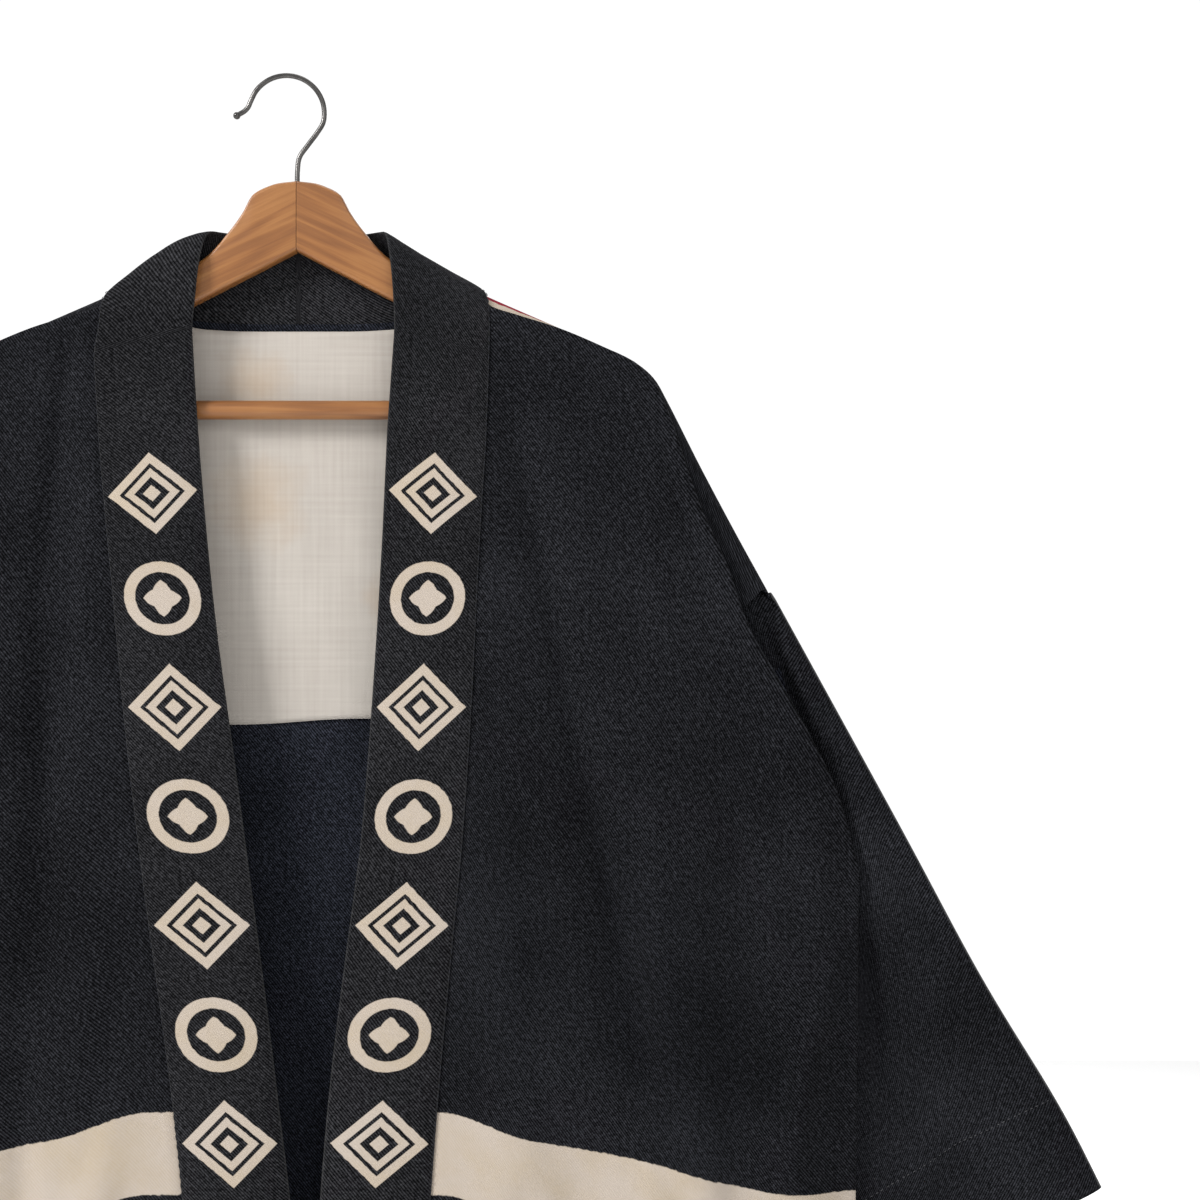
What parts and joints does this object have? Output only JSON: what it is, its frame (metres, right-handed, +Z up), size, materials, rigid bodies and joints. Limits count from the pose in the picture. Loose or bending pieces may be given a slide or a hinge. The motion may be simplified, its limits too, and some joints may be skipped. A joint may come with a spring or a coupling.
{
  "type": "kimono jacket on a wooden hanger",
  "caption": "Open-fronted cotton jacket of straight kimono cut, with a long band collar and wide open sleeves, hung on a wooden hanger with a trouser bar and a wire hook.",
  "frame": {"origin": "the inside of the hook's crown, where a pin or rail holds the hanger", "axes": "+Z up, +X towards the wearer's left, -Y out of the jacket's front"},
  "size_m": [0.9314, 0.0566, 0.9446],
  "materials": {
    "dyed_twill": "matt dyed cotton twill",
    "collar_twill": "matt dyed cotton twill, slightly faded",
    "lining_cotton": "matt undyed plain-weave cotton",
    "hanger_wood": "satin varnish",
    "hook_steel": "polished"
  },
  "bodies": {
    "root": {"back": "dyed_twill", "front_left": "dyed_twill", "front_right": "dyed_twill", "sleeve_left": "dyed_twill", "sleeve_right": "dyed_twill", "collar": "collar_twill", "lining": "lining_cotton", "hanger_half_left": "hanger_wood", "hanger_half_right": "hanger_wood", "hanger_bar": "hanger_wood", "hanger_hook": "hook_steel"}
  },
  "joints": []
}
